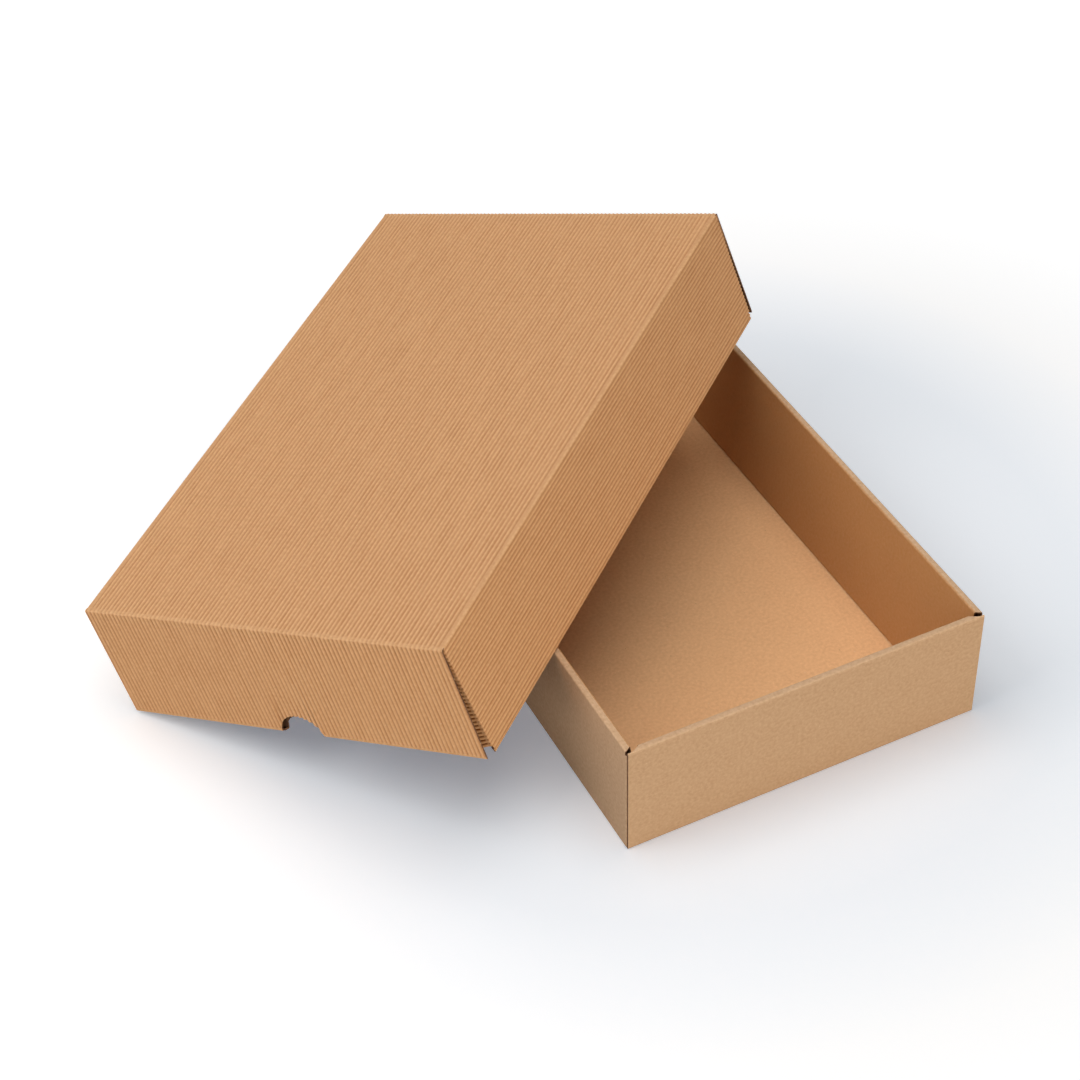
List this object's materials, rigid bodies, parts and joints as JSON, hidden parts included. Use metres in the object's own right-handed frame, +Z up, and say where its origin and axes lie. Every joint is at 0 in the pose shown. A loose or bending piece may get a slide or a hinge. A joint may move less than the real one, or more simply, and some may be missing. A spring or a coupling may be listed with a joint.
{
  "type": "corrugated cardboard gift box with separate lid",
  "caption": "Two-piece kraft cardboard box: an open tray with rolled double walls and a lid of open-fluted board with thumb notches, leaning across the tray.",
  "frame": {"origin": "middle of the tray's base, on the surface that it stands on", "axes": "+Z up, +Y along the tray's length away from its near end, +X along its width"},
  "size_m": [0.5218, 0.5433, 0.2128],
  "materials": {
    "kraft_board": "smooth brown kraft liner, matt, with fine fibres and a few dark specks",
    "fluted_kraft_board": "open kraft flutes, matt, flattened beside the folds"
  },
  "bodies": {
    "root": {"tray": "kraft_board", "lid": "fluted_kraft_board"}
  },
  "joints": []
}
